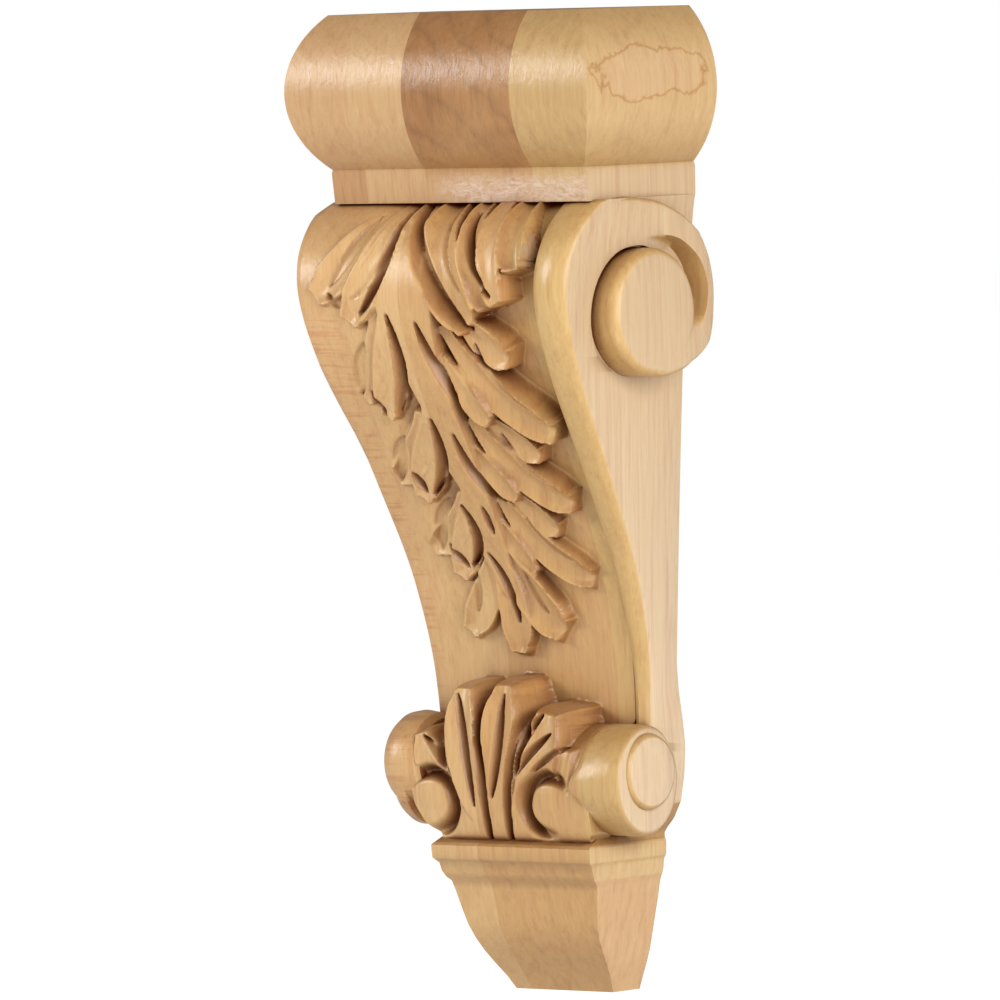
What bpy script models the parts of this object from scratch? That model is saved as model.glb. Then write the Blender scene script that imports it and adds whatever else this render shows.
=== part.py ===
# Carved wooden corbel bracket: a mitred roll on top, an S-curved body with side scrolls,
# an acanthus leaf, a shell on the lower roll and a tapering drop below. One carved block.
# The back lies in the plane y = 0, the front faces -Y, and the origin is at the middle of the back.
import math

import bmesh
import bpy
from mathutils import Vector

MM = 0.001

# Overall
HEIGHT = 216 * MM
ROLL_HALF_WIDTH = 43 * MM
ROLL_DEPTH = 44.7 * MM
ROLL_HEIGHT = 34 * MM
ROLL_BULGE = 7.2 * MM
ROLL_LIP = 0.8 * MM

# Neck under the roll
NECK_HALF_WIDTH = 35.6 * MM
NECK_DEPTH = 37.4 * MM
NECK_HEIGHT = 7.2 * MM
NECK_TAPER = 0.7 * MM

# S-curved body: depths of the front at heights above the middle
FRONT_BULGE_HEIGHT = 48 * MM
FRONT_BULGE_DEPTH = 47.2 * MM
CROWN_DROP = 22.5 * MM
CURVE_FOOT = -44 * MM
CURVE_FOOT_DEPTH = 13.8 * MM
FRONT_KNOTS = ((FRONT_BULGE_HEIGHT / MM, FRONT_BULGE_DEPTH / MM), (30, 42.2), (6, 30), (-18, 18.9),
               (CURVE_FOOT / MM, CURVE_FOOT_DEPTH / MM))
SHOULDER = HEIGHT / 2 - ROLL_HEIGHT - NECK_HEIGHT
BODY_FOOT = -75 * MM
FOOT_CURVE_TOP = -54 * MM
FRONT_HALF_WIDTH_TOP = 38.6 * MM
FRONT_HALF_WIDTH_FOOT = 29.8 * MM
BACK_HALF_WIDTH_TOP = 35.2 * MM
BACK_HALF_WIDTH_FOOT = 27.2 * MM
SIDE_HOLLOW = 0.7
BAND_WIDTH_TOP = 11 * MM
BAND_WIDTH_FOOT = 5 * MM

# The ground lies behind the edge bands, by (height, sink); it is nearly flush towards the left edge
GROUND_SINKS = ((66, 3.0), (48, 5.2), (24, 4.8), (0, 3.2), (-20, 1.6), (-42, 0.5))
FLUSH_SINK = 0.3 * MM
FLUSH_FROM = -24 * MM
SUNK_FROM = -4 * MM

# Upper volute on each side
EYE_DEPTH = 20.3 * MM
EYE_HEIGHT = 42.2 * MM
EYE_RADIUS = 13.7 * MM
EYE_HALF_WIDTH = 41.9 * MM
EYE_EDGE = 1.2 * MM
SPIRAL_RADII = (25, 26.4, 26.9, 26.6, 24.8, 24.8, 25.4, 23.4, 20.9, 19, 16.5, 15, 14)
SPIRAL_STEP = 22.5
SPIRAL_FACE_FRONT = 35.7 * MM
SPIRAL_FACE_REAR = 40.8 * MM

# Lower scroll
SCROLL_DEPTH = 15.9 * MM
SCROLL_HEIGHT = -60.5 * MM
SCROLL_RADIUS = 12.2 * MM
SCROLL_HALF_WIDTH = 33.6 * MM
SCROLL_LEFT_FULLER = 1 * MM
SCROLL_EYE_RADIUS = 8.4 * MM
SCROLL_EYE_HALF_WIDTH = 35.4 * MM
SCROLL_SINK = 1.2 * MM
SCROLL_BAND = 11 * MM

# Drop below the lower scroll
DROP_TOP = -74.5 * MM
DROP_HALF_WIDTH = 22.2 * MM
DROP_DEPTH = 24.9 * MM
DROP_LIP = 1 * MM
DROP_INSETS = ((0, 0, 0), (3.4, 0.2, 0.1), (4.6, 1.7, 0.8), (7.8, 2.6, 1.4), (8.8, 3.6, 1.9), (12.5, 4.3, 2.7),
               (18.5, 6.1, 4.1), (21.5, 7.9, 4.8), (24.5, 10.2, 5.5), (27.5, 12.9, 6.5), (30.5, 15.5, 7.7),
               (33.5, 17.4, 8.8))

# Leaf lobes: root (x, z), tip (x, z), width, sideways bow, level at the root, level at the tip, scoop.
# Levels are measured from the face of the edge bands.
LOBE_SINK = 8 * MM
LEAF_LOBES = (
    (-16, 70, -31.5, 48, 10, 2, 0.6, 1.4, 1.6), (-12, 70, -23, 43, 9.5, 2, 0.8, 1.6, 1.5),
    (-1, 70, 8.5, 43, 11, -2.5, 0.6, 1.5, 3), (7, 70, 14.5, 45.5, 7, -1.5, 1, 1.5, 2.2),
    (13.5, 70, 18, 46, 6.5, -1, 1.2, 1.6, 0.8), (19.5, 70, 22.3, 52.5, 8, -0.5, 1.2, 1.6, 2.8),
    (-17, 43, -25, 25.5, 8, 2, 0.4, 1.2, 1.2), (-15, 42, -20.5, 22, 7.5, 0.8, 0.8, 1.8, 1),
    (5, 42, 16.5, 34.5, 8, -0.6, -2.2, 0.2, 1.6), (1, 40, 22.8, 18.5, 8.5, -2.8, -1, 1, 2.6),
    (-1, 34, 7, 21.5, 6.5, -0.8, -0.4, 1.4, 1.4),
    (-13, 21, -24.5, 7, 7.5, 2, 0.2, 0.9, 1.2), (-12, 19, -19, 3.5, 8, 0.5, 0.6, 1.5, 1),
    (4, 21, 16, 13, 7, -0.6, -2, 0, 1.5), (1, 20, 20.2, 2, 8, -2.8, -1, 0.8, 2.4),
    (-2, 15, 6, 4, 6, -0.6, -0.6, 1.2, 1.4),
    (-9.5, 3, -21.5, -9, 7, 2, 0.2, 0.7, 1.2), (-9, 1, -16, -14.5, 7.5, 0.5, 0.6, 1.3, 1),
    (4, 4, 13.5, -4.5, 6.5, -0.6, -1.6, 0, 1.3), (1, 2, 19, -15.5, 8, -2.8, -0.8, 0.8, 2.2),
    (-2, -2, 4, -13.5, 5.5, -0.5, -0.2, 1, 1.2),
    (-6, -10, -16.5, -27, 8.5, 1, 0.4, 1.4, 1.4), (-5, -10, -4, -31, 9, 0.8, 0.4, 1.8, 1.5),
    (-3, -10, 8.5, -27, 10.5, -1.5, 0.4, 2, 2.1),
)

# The stem: stations (x, z, half width, level)
STEM = ((-8.5, 70, 5.5, -0.4), (-9, 57, 5.5, 0.6), (-8.5, 46, 9, 0.8), (-8, 35, 7, 0.3), (-6.5, 24, 5.5, 0.3),
        (-5, 5, 4.5, 0.5), (-4, -20, 2.5, 0.8))

# The deepest gouge cuts: start (x, z), end (x, z), width, sideways bow, depth
CUTS = (
    (-20.5, 64, -29.5, 49, 3, 0.8, 1.6), (-12.5, 66, -21, 43, 3.8, 3.2, 2.6), (-8.5, 66, 8, 40.5, 5, -2.4, 2.8),
    (7.5, 63, 16.5, 47, 2.4, -1.6, 2), (-13.5, 43, -18, 21.5, 3.4, 2.4, 2.6),
    (-22, 36, -27, 25, 4.2, -0.8, 1.8),
    (-9.5, 21, -16, 3.5, 3.4, 2, 2.4), (-20, 15, -25, 6, 4, -0.8, 1.6),
    (-10, 1, -12.5, -13, 3.2, 2.4, 2.4), (-15, 1, -20.5, -9.5, 3.8, -0.8, 1.6),
    (-5.5, 42, 0.5, 24, 3.2, -0.6, 2.4), (-4.5, 18, 1.5, 2, 3, -1.7, 2), (-7, -10, -3.5, -26, 2.4, 1.2, 1),
)
CUT_CLEARANCE = 4 * MM

# Shell over the lower roll: its face stands at (height, depth), and its lobes are laid out like the leaf's
SHELL_FACE = ((-36, 23.4), (-44, 26), (-52, 27.4), (-60, 28), (-68, 25.6), (-74, 20))
SHELL_LOBES = (
    (-3, -73, -2.5, -38.5, 11, 0, -0.6, 1, 1.4), (-5, -73, -16.5, -41, 10, 2, -0.6, 0.8, 1.2),
    (-1, -73, 12, -42, 11, -2, -0.6, 1, 1.4), (2, -72, 20.5, -51, 8.5, -3, -0.8, 0, 0.9),
    (-8, -72, -25, -51, 8, 3, -0.8, 0, 0.9),
)
SHELL_SINK = 14 * MM
SHELL_CUTS = ((-10.5, -44, -6.5, -71, 2.6, 1.2, 1.8), (4.5, -46, -1, -71, 2.6, -1, 1.8),
              (-3, -41, -3.5, -64, 2.4, 0.6, 1.6), (-16, -43, -9.5, -66, 2.2, 0.8, 1.4),
              (10.5, -45, 2, -62, 2.2, -1, 1.4))

# Round bosses at the foot of the shell: (x, z)
BOSSES = ((-22.5, -66), (12.5, -66))
BOSS_RADIUS = 6.6 * MM
BOSS_RISE = 1.2 * MM

WOOD_COLOUR = (0.62, 0.36, 0.14, 1)
WOOD_ROUGHNESS = 0.42


def blend(low, high, share):
    return low + (high - low) * min(1.0, max(0.0, share))


def smooth_through(knots, z):
    """Depth at a height, on a smooth curve through knots given from the top down, in millimetres."""
    z = z / MM
    if z >= knots[0][0]:
        return knots[0][1] * MM
    if z <= knots[-1][0]:
        return knots[-1][1] * MM
    slopes = [0.0]
    for before, after in zip(knots[:-2], knots[2:]):
        slopes.append((after[1] - before[1]) / (after[0] - before[0]))
    slopes.append(0.0)
    for i in range(len(knots) - 1):
        (z0, d0), (z1, d1) = knots[i], knots[i + 1]
        if z >= z1:
            span = z1 - z0
            t = (z - z0) / span
            near = (2 * t ** 3 - 3 * t ** 2 + 1) * d0 + (t ** 3 - 2 * t ** 2 + t) * span * slopes[i]
            far = (3 * t ** 2 - 2 * t ** 3) * d1 + (t ** 3 - t ** 2) * span * slopes[i + 1]
            return (near + far) * MM


def body_depth(z):
    """Depth of the front face: a quarter ellipse over the crown, then the S-curve."""
    if z > FRONT_BULGE_HEIGHT:
        share = min(1.0, (z - FRONT_BULGE_HEIGHT) / CROWN_DROP)
        return EYE_DEPTH + (FRONT_BULGE_DEPTH - EYE_DEPTH) * math.sqrt(1 - share * share)
    return smooth_through(FRONT_KNOTS, z)


def down_share(z):
    """0 at the top of the body and 1 at the foot of the S-curve."""
    return (SHOULDER - z) / (SHOULDER - CURVE_FOOT)


def foot_curve(half_width, z):
    """Below the S-curve the sides round in to the top of the drop."""
    share = (FOOT_CURVE_TOP - z) / (FOOT_CURVE_TOP - BODY_FOOT)
    if share <= 0:
        return half_width
    low = DROP_HALF_WIDTH - DROP_LIP
    return low + (half_width - low) * math.sqrt(max(0, 1 - share ** 2))


def front_half_width(z):
    return foot_curve(blend(FRONT_HALF_WIDTH_TOP, FRONT_HALF_WIDTH_FOOT, down_share(z)), z)


def back_half_width(z):
    share = max(0, down_share(z)) ** SIDE_HOLLOW
    return foot_curve(blend(BACK_HALF_WIDTH_TOP, BACK_HALF_WIDTH_FOOT, share), z)


def ground_sink(x, z):
    deep = smooth_through(GROUND_SINKS, z)
    share = (x - FLUSH_FROM) / (SUNK_FROM - FLUSH_FROM)
    return blend(FLUSH_SINK, deep, share)


def face_depth(z):
    """Depth of the edge bands and, lower down, of the lower roll between its ends."""
    reach = SCROLL_RADIUS ** 2 - (z - SCROLL_HEIGHT) ** 2
    if reach <= 0:
        return body_depth(z)
    return max(body_depth(z), SCROLL_DEPTH + math.sqrt(reach) - SCROLL_SINK)


def on_front(x, z, level):
    """A point that stands off the face of the bands by level, square to that face."""
    step = 0.5 * MM
    slope = (face_depth(z + step) - face_depth(z - step)) / (2 * step)
    slope = max(-1.5, min(1.5, slope))
    length = math.hypot(1, slope)
    return Vector((x, -(face_depth(z) + level / length), z - level * slope / length))


def on_shell(x, z, level):
    """A point straight in front of the shell's face by level."""
    return Vector((x, -(smooth_through(SHELL_FACE, z) + level), z))


def loft(name, rings):
    """A closed solid through rings of equal point counts."""
    bm = bmesh.new()
    loops = []
    for ring in rings:
        verts = [bm.verts.new(point) for point in ring]
        loops.append([bm.edges.new((verts[i - 1], verts[i])) for i in range(len(verts))])
    bm.faces.new([edge.verts[1] for edge in loops[0]])
    bm.faces.new([edge.verts[1] for edge in loops[-1]])
    for first, second in zip(loops, loops[1:]):
        bmesh.ops.bridge_loops(bm, edges=first + second)
    bmesh.ops.triangulate(bm, faces=bm.faces[:])
    bmesh.ops.recalc_face_normals(bm, faces=bm.faces[:])
    mesh = bpy.data.meshes.new(name)
    bm.to_mesh(mesh)
    bm.free()
    piece = bpy.data.objects.new(name, mesh)
    bpy.context.collection.objects.link(piece)
    return piece


def block_ring(half_width, depth, z):
    return [(-half_width, 0, z), (half_width, 0, z), (half_width, -depth, z), (-half_width, -depth, z)]


def roll_and_neck():
    """The rounded top moulding with mitred corners, its lip and the tapered neck."""
    top = HEIGHT / 2
    rings = []
    steps = 12
    edge_half_width = ROLL_HALF_WIDTH - ROLL_BULGE
    edge_depth = ROLL_DEPTH - ROLL_BULGE
    half = ROLL_HEIGHT / 2
    radius = (half * half + ROLL_BULGE * ROLL_BULGE) / (2 * ROLL_BULGE)
    for i in range(steps + 1):
        drop = ROLL_HEIGHT * (1 - math.cos(math.pi * i / steps)) / 2
        bulge = math.sqrt(radius ** 2 - (drop - half) ** 2) - (radius - ROLL_BULGE)
        rings.append(block_ring(edge_half_width + bulge, edge_depth + bulge, top - drop))
    neck_top = top - ROLL_HEIGHT
    rings.append(block_ring(NECK_HALF_WIDTH, NECK_DEPTH, neck_top - ROLL_LIP))
    low = neck_top - NECK_HEIGHT
    rings.append(block_ring(NECK_HALF_WIDTH - NECK_TAPER, NECK_DEPTH - NECK_TAPER, low))
    return loft("top_moulding", rings)


def body():
    """The S-curved block, wider at the front, with the sunk ground between its two edge bands."""
    rings = []
    top = HEIGHT / 2 - ROLL_HEIGHT - NECK_HEIGHT / 2
    steps = 34
    for i in range(steps + 1):
        z = top + (BODY_FOOT - top) * i / steps
        depth = body_depth(z)
        front = front_half_width(z)
        back = back_half_width(z)
        inner = front - blend(BAND_WIDTH_TOP, BAND_WIDTH_FOOT, down_share(z))
        flush = max(FLUSH_FROM, -front + 2 * MM)
        ring = [(-back, 0, z), (back, 0, z), (front, -depth + MM, z), (front - MM, -depth, z),
                (inner + MM, -depth, z)]
        for x in (inner, SUNK_FROM, (SUNK_FROM + flush) / 2, flush):
            ring.append((x, ground_sink(x, z) - depth, z))
        rings.append(ring + [(-front + MM, -depth, z), (-front, -depth + MM, z)])
    return loft("body", rings)


def drum(name, centre_depth, height, profile, sides):
    """A round turned about an axis along X; profile gives (x, radius) pairs."""
    rings = []
    for x, radius in profile:
        ring = []
        for i in range(sides):
            angle = 2 * math.pi * i / sides
            ring.append((x, -centre_depth - radius * math.cos(angle), height + radius * math.sin(angle)))
        rings.append(ring)
    return loft(name, rings)


def volute(side):
    """The spiral face of the upper scroll: its radius shrinks and its face rises from front to rear."""
    steps = 2
    outline = []
    count = (len(SPIRAL_RADII) - 1) * steps
    for i in range(count + 1):
        place = i / steps
        low = min(int(place), len(SPIRAL_RADII) - 2)
        radius = blend(SPIRAL_RADII[low], SPIRAL_RADII[low + 1], place - low) * MM
        angle = math.radians(SPIRAL_STEP * place)
        depth = max(EYE_DEPTH + radius * math.cos(angle), 0)
        outline.append((depth, EYE_HEIGHT + radius * math.sin(angle), i / count))
    rings = []
    for stage in (0, 1):
        ring = []
        for depth, z, share in outline:
            face = blend(SPIRAL_FACE_FRONT, SPIRAL_FACE_REAR, share * 1.5)
            ring.append((side * (face if stage else EYE_DEPTH), -depth, z))
        rings.append(ring)
    return loft("volute", rings)


def bowed(spec, share):
    """A point (x, z) along the bowed middle line of a lobe or a cut, and the direction across it."""
    start = Vector(spec[0:2]) * MM
    along = Vector(spec[2:4]) * MM - start
    across = Vector((-along.y, along.x)).normalized()
    return start + along * share + across * (spec[5] * MM * 4 * share * (1 - share)), across


def lobe(spec, surface, sink):
    """One scooped lobe: a hollow runs from root to round tip between two raised rims."""
    width, low, high, scoop = spec[4], spec[6], spec[7], spec[8]
    rings = []
    for share in (0.0, 0.25, 0.5, 0.75, 0.92, 1.0):
        centre, across = bowed(spec, share)
        half = width / 2 * MM * (0.45 + 0.55 * math.sin(math.pi * min(share * 0.8, 0.5)))
        if share > 0.75:
            half *= math.sqrt(max(0.03, 1 - ((share - 0.75) / 0.26) ** 2))
        top = blend(low, high, share) * MM
        hollow = scoop * MM * (0.35 + 0.65 * share)
        ring = []
        for offset, level in ((-1, -sink), (-1, top - 0.5 * MM), (-0.82, top), (0, top - hollow),
                              (0.82, top), (1, top - 0.5 * MM), (1, -sink)):
            spot = centre + across * half * offset
            ring.append(surface(spot.x, spot.y, level))
        rings.append(ring)
    return loft("lobe", rings)


def stem():
    """The flat stem that the lobes grow from."""
    rings = []
    for x, z, half, level in STEM:
        ring = []
        for offset, rise in ((-half, -LOBE_SINK), (-half, (level - 1) * MM), (-half * 0.7, level * MM),
                             (half * 0.7, level * MM), (half, (level - 1) * MM), (half, -LOBE_SINK)):
            ring.append(on_front((x + offset) * MM, z * MM, rise))
        rings.append(ring)
    return loft("stem", rings)


def gouge(spec, surface):
    """A cutter for one tapering cut with a sharp bottom."""
    width, depth = spec[4], spec[6]
    rings = []
    for share in (0.0, 0.15, 0.4, 0.65, 0.87, 1.0):
        centre, across = bowed(spec, share)
        full = math.sqrt(math.sin(math.pi * min(0.98, max(0.02, share))))
        half = width / 2 * MM * full
        ring = []
        for offset, level in ((-1, CUT_CLEARANCE), (-1, MM), (0, -depth * MM * full),
                              (1, MM), (1, CUT_CLEARANCE)):
            spot = centre + across * half * offset
            ring.append(surface(spot.x, spot.y, level))
        rings.append(ring)
    return loft("gouge", rings)


def drop():
    """The tapering end: a fillet, a small cove and a long curve in to the flat tip, mitred at its corners."""
    rings = [block_ring(DROP_HALF_WIDTH - DROP_LIP, DROP_DEPTH - DROP_LIP, DROP_TOP + 4 * DROP_LIP)]
    for fall, front, side in DROP_INSETS:
        rings.append(block_ring(DROP_HALF_WIDTH - side * MM, DROP_DEPTH - front * MM, DROP_TOP - fall * MM))
    return loft("drop", rings)


def boss(x, z):
    """One round boss at the foot of the shell, on the lower roll."""
    rings = []
    for level, share in ((-SHELL_SINK, 1), (BOSS_RISE * 0.6, 1), (BOSS_RISE, 0.6)):
        ring = []
        for i in range(12):
            angle = 2 * math.pi * i / 12
            place = x * MM + BOSS_RADIUS * share * math.cos(angle)
            ring.append(on_shell(place, z * MM + BOSS_RADIUS * share * math.sin(angle), level))
        rings.append(ring)
    return loft("boss", rings)


def work(base, tools, operation):
    """Joins the other solids to the base or cuts them from it, so that the corbel is one body."""
    for tool in tools:
        step = base.modifiers.new("work", "BOOLEAN")
        step.operation = operation
        step.solver = "EXACT"
        step.object = tool
        tool.hide_render = True
        tool.display_type = "WIRE"


def lower_scroll():
    """The lower roll, sunk between its two ends; the left end is a little fuller."""
    left = SCROLL_HALF_WIDTH + SCROLL_LEFT_FULLER
    right = SCROLL_HALF_WIDTH
    full = SCROLL_RADIUS + SCROLL_LEFT_FULLER
    low = SCROLL_RADIUS - SCROLL_SINK
    profile = ((-left, full - MM), (-left + MM, full), (-left + SCROLL_BAND, full),
               (-left + SCROLL_BAND + MM, low), (right - SCROLL_BAND - MM, low),
               (right - SCROLL_BAND, SCROLL_RADIUS), (right - MM, SCROLL_RADIUS), (right, SCROLL_RADIUS - MM))
    return drum("lower_scroll", SCROLL_DEPTH, SCROLL_HEIGHT, profile, 32)


def disc(name, half_width, radius, edge, depth, height, sides):
    """A disc right through the corbel, seen as a round eye on both sides."""
    profile = ((-half_width, radius - edge), (-half_width + edge, radius),
               (half_width - edge, radius), (half_width, radius - edge))
    return drum(name, depth, height, profile, sides)


def wood():
    material = bpy.data.materials.new("wood")
    material.use_nodes = True
    shader = material.node_tree.nodes["Principled BSDF"]
    shader.inputs["Base Color"].default_value = WOOD_COLOUR
    shader.inputs["Roughness"].default_value = WOOD_ROUGHNESS
    shader.inputs["Metallic"].default_value = 0
    return material


def main():
    for item in list(bpy.data.objects):
        bpy.data.objects.remove(item)
    corbel = body()
    corbel.name = "corbel"
    corbel.data.materials.append(wood())
    pieces = [roll_and_neck(), drop(), lower_scroll(), stem(), volute(1), volute(-1)]
    pieces.append(disc("scroll_eyes", SCROLL_EYE_HALF_WIDTH, SCROLL_EYE_RADIUS, MM,
                       SCROLL_DEPTH, SCROLL_HEIGHT, 24))
    pieces.append(disc("eyes", EYE_HALF_WIDTH, EYE_RADIUS, EYE_EDGE, EYE_DEPTH, EYE_HEIGHT, 32))
    pieces += [lobe(spec, on_front, LOBE_SINK) for spec in LEAF_LOBES]
    pieces += [lobe(spec, on_shell, SHELL_SINK) for spec in SHELL_LOBES]
    pieces += [boss(x, z) for x, z in BOSSES]
    work(corbel, pieces, "UNION")
    cutters = [gouge(spec, on_front) for spec in CUTS]
    cutters += [gouge(spec, on_shell) for spec in SHELL_CUTS]
    work(corbel, cutters, "DIFFERENCE")


main()
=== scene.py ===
# Carved wooden corbel bracket: the finished carving, its glued-up maple and a plain pale studio.
import math

import bmesh
import bpy
import numpy as np
from mathutils import Matrix, Vector


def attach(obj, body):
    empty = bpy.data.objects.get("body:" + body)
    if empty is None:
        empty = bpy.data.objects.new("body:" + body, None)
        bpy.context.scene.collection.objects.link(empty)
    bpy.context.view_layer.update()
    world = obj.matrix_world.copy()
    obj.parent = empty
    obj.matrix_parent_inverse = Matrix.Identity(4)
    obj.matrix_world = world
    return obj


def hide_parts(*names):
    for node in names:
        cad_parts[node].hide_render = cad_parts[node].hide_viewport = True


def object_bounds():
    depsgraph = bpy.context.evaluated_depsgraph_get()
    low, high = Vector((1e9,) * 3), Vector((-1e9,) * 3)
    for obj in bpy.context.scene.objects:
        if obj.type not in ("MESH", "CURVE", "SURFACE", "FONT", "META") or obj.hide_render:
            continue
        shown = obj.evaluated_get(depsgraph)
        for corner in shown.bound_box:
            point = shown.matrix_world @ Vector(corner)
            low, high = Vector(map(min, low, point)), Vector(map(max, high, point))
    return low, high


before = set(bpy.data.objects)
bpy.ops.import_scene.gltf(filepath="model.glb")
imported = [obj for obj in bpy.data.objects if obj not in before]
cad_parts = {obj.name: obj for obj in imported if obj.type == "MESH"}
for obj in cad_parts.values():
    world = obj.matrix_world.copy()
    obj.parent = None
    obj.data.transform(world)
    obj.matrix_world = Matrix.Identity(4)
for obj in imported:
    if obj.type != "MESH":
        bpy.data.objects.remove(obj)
cad_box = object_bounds()

MM = 0.001
TOP = cad_box[1][2]
FOOT = cad_box[0][2]

# How fine the carved face is, how many triangles the finished piece keeps, and what counts as a sharp edge
FINE = 0.34 * MM
TRIANGLES = 185000
SHARP = math.radians(50)

# The blank: glue lines between the staves, at distances across the front
GLUE_LINES = (-26.4 * MM, -9.4 * MM, 21.2 * MM)

# Half widths are measured from the middle of the front, depths from the back, and heights from the middle
ROLL_HALF_WIDTH = 35.8 * MM
ROLL_DEPTH = 37.5 * MM
ROLL_HALF_HEIGHT = 17 * MM
ROLL_BULGE = 7.2 * MM
ROLL_STEPS = 40
SHOULDER = TOP - 41.2 * MM
# Neck: how far each of its rings lies under the top, its half width and its depth, in millimetres
NECK = ((34.8, 36.2, 37.4), (41.2, 36.1, 36.7), (41.5, 36.0, 36.6))

# Body: its front falls in an S through (height, depth) knots, under a rounded crown
BULGE_HEIGHT = 48 * MM
CROWN_DROP = 22.5 * MM
FRONT_KNOTS = ((48, 47.2), (30, 42.2), (6, 30.0), (-18, 18.9), (-44, 13.8))
BODY_FOOT = -75 * MM
BODY_RINGS = 160
# The block inside stays this far under the carved ground
CORE_COVER = 1 * MM
# Half width and band width, at the shoulder and at the lowest knot
FRONT_HALF_WIDTHS = (38.6 * MM, 29.8 * MM)
BACK_HALF_WIDTHS = (35.2 * MM, 26.6 * MM)
BAND_WIDTHS = (11 * MM, 5 * MM)
# The back edge stands out a little more from this height up, over this rise
BACK_SWELL = 0.9 * MM
SWELL_FROM = 32 * MM
SWELL_RISE = 28 * MM
# Under these heights both edges flare and then draw in to the drop: half widths at the flare's heights
FRONT_FLARE_FROM = -42 * MM
BACK_FLARE_FROM = -36 * MM
FLARE_HEIGHTS = (-73, -70, -66, -60, -54, -48, -42, -36)
FRONT_FLARE = (22.2, 25.4, 28.0, 29.4, 29.9, 29.8, 29.9, 30.3)
BACK_FLARE = (22.2, 25.0, 27.2, 28.3, 28.8, 28.2, 27.4, 27.05)
# How much further out the front left corner stands than the right one: (height, distance)
LEFT_FLARE = ((-60, 0), (-42, 1.4), (-10, 0.5), (10, 0), (16, 0.3), (24, 1.3), (31, 2.2), (43, 2.6), (55, 3.0),
              (64, 2.8), (66.8, 0.5))
# The ground behind the edge bands: its sink at the right as (height, depth) knots, and at the left
SINK_KNOTS = ((67, 2.4), (50, 5.6), (30, 5.8), (8, 4.4), (-18, 2.0), (-42, 0.5))
LEFT_SINK = 0.3 * MM
SINK_LEFT_END = -24 * MM
SINK_RUN = 20 * MM
# The chin between the lower roll and the drop: (height, depth) knots
CHIN = ((-62, 26.2), (-66, 26.4), (-70, 26.0), (-73, 25.0), (-75, 23.2))

# Upper scroll
EYE_DEPTH = 20.3 * MM
EYE_HEIGHT = 42.2 * MM
EYE_RADIUS = 14.0 * MM
EYE_HALF_WIDTH = 41.9 * MM
EYE_EDGE = 2.6 * MM
# The eye sits this far before and under the middle of the spiral
EYE_FORWARD = 0.9 * MM
EYE_DOWN = 0.3 * MM
SPIRAL_FACE = 40.8 * MM

# Lower scroll
SCROLL_DEPTH = 15.9 * MM
SCROLL_HEIGHT = -60.5 * MM
SCROLL_RADIUS = 12.2 * MM
SCROLL_SINK = 1.2 * MM

# Drop
DROP_TOP = -74.5 * MM
DROP_HALF_WIDTH = 22.6 * MM
DROP_DEPTH = 26.6 * MM
# How far each of its rings lies under its top, and how far its front and its sides are set in, in millimetres
DROP_RINGS = ((-4, 9, 2), (0.2, 0.5, 0.2), (0.6, 0, 0), (3.4, 0.2, 0.1), (3.9, 0.8, 0.4), (4.6, 1.7, 0.8),
              (6.5, 2.3, 1.0), (7.8, 3.2, 1.4), (8.8, 4.5, 1.9), (10.5, 5.0, 2.3), (12.5, 5.5, 2.7),
              (15.5, 6.2, 3.4), (18.5, 7.0, 4.1), (21.5, 8.5, 4.8), (24.5, 10.6, 5.5), (27.5, 13.0, 6.5),
              (30.5, 15.5, 7.7), (33.5, 17.4, 8.8))


def between(low, high, share):
    return low + (high - low) * np.clip(share, 0, 1)


def curve_through(knots, z):
    """Smooth depths through knots given from the top down, in millimetres."""
    heights = np.array([k[0] for k in knots], float)[::-1]
    depths = np.array([k[1] for k in knots], float)[::-1]
    slopes = np.zeros(len(knots))
    slopes[1:-1] = (depths[2:] - depths[:-2]) / (heights[2:] - heights[:-2])
    place = np.clip(z / MM, heights[0], heights[-1])
    i = np.clip(np.searchsorted(heights, place, side="right") - 1, 0, len(knots) - 2)
    span = heights[i + 1] - heights[i]
    t = (place - heights[i]) / span
    near = (2 * t ** 3 - 3 * t ** 2 + 1) * depths[i] + (t ** 3 - 2 * t ** 2 + t) * span * slopes[i]
    far = (3 * t ** 2 - 2 * t ** 3) * depths[i + 1] + (t ** 3 - t ** 2) * span * slopes[i + 1]
    return (near + far) * MM


def body_depth(z):
    crown = np.clip((z - BULGE_HEIGHT) / CROWN_DROP, 0, 1)
    over = EYE_DEPTH + (FRONT_KNOTS[0][1] * MM - EYE_DEPTH) * np.sqrt(1 - crown ** 2)
    return np.where(z > BULGE_HEIGHT, over, curve_through(FRONT_KNOTS, z))


def down_share(z):
    return np.clip((SHOULDER - z) / (SHOULDER - FRONT_KNOTS[-1][0] * MM), 0, 1)


def front_half_width(z):
    flared = np.interp(z / MM, FLARE_HEIGHTS, FRONT_FLARE) * MM
    return np.where(z < FRONT_FLARE_FROM, flared, between(*FRONT_HALF_WIDTHS, down_share(z)))


def back_half_width(z):
    plain = between(*BACK_HALF_WIDTHS, down_share(z) ** 0.7)
    plain += between(0, BACK_SWELL, (z - SWELL_FROM) / SWELL_RISE)
    flared = np.interp(z / MM, FLARE_HEIGHTS, BACK_FLARE) * MM
    return np.where(z < BACK_FLARE_FROM, flared, plain)


def left_flare(z):
    heights, distances = zip(*LEFT_FLARE)
    return np.interp(z / MM, heights, distances) * MM


def band_width(z):
    return between(*BAND_WIDTHS, down_share(z))


def ground_sink(x, z):
    """How far the ground lies behind the edge bands: deep at the right, nearly flush at the left."""
    deep = curve_through(SINK_KNOTS, z)
    share = np.clip((x - SINK_LEFT_END) / SINK_RUN, 0, 1)
    return LEFT_SINK + (deep - LEFT_SINK) * share * share * (3 - 2 * share)


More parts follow.
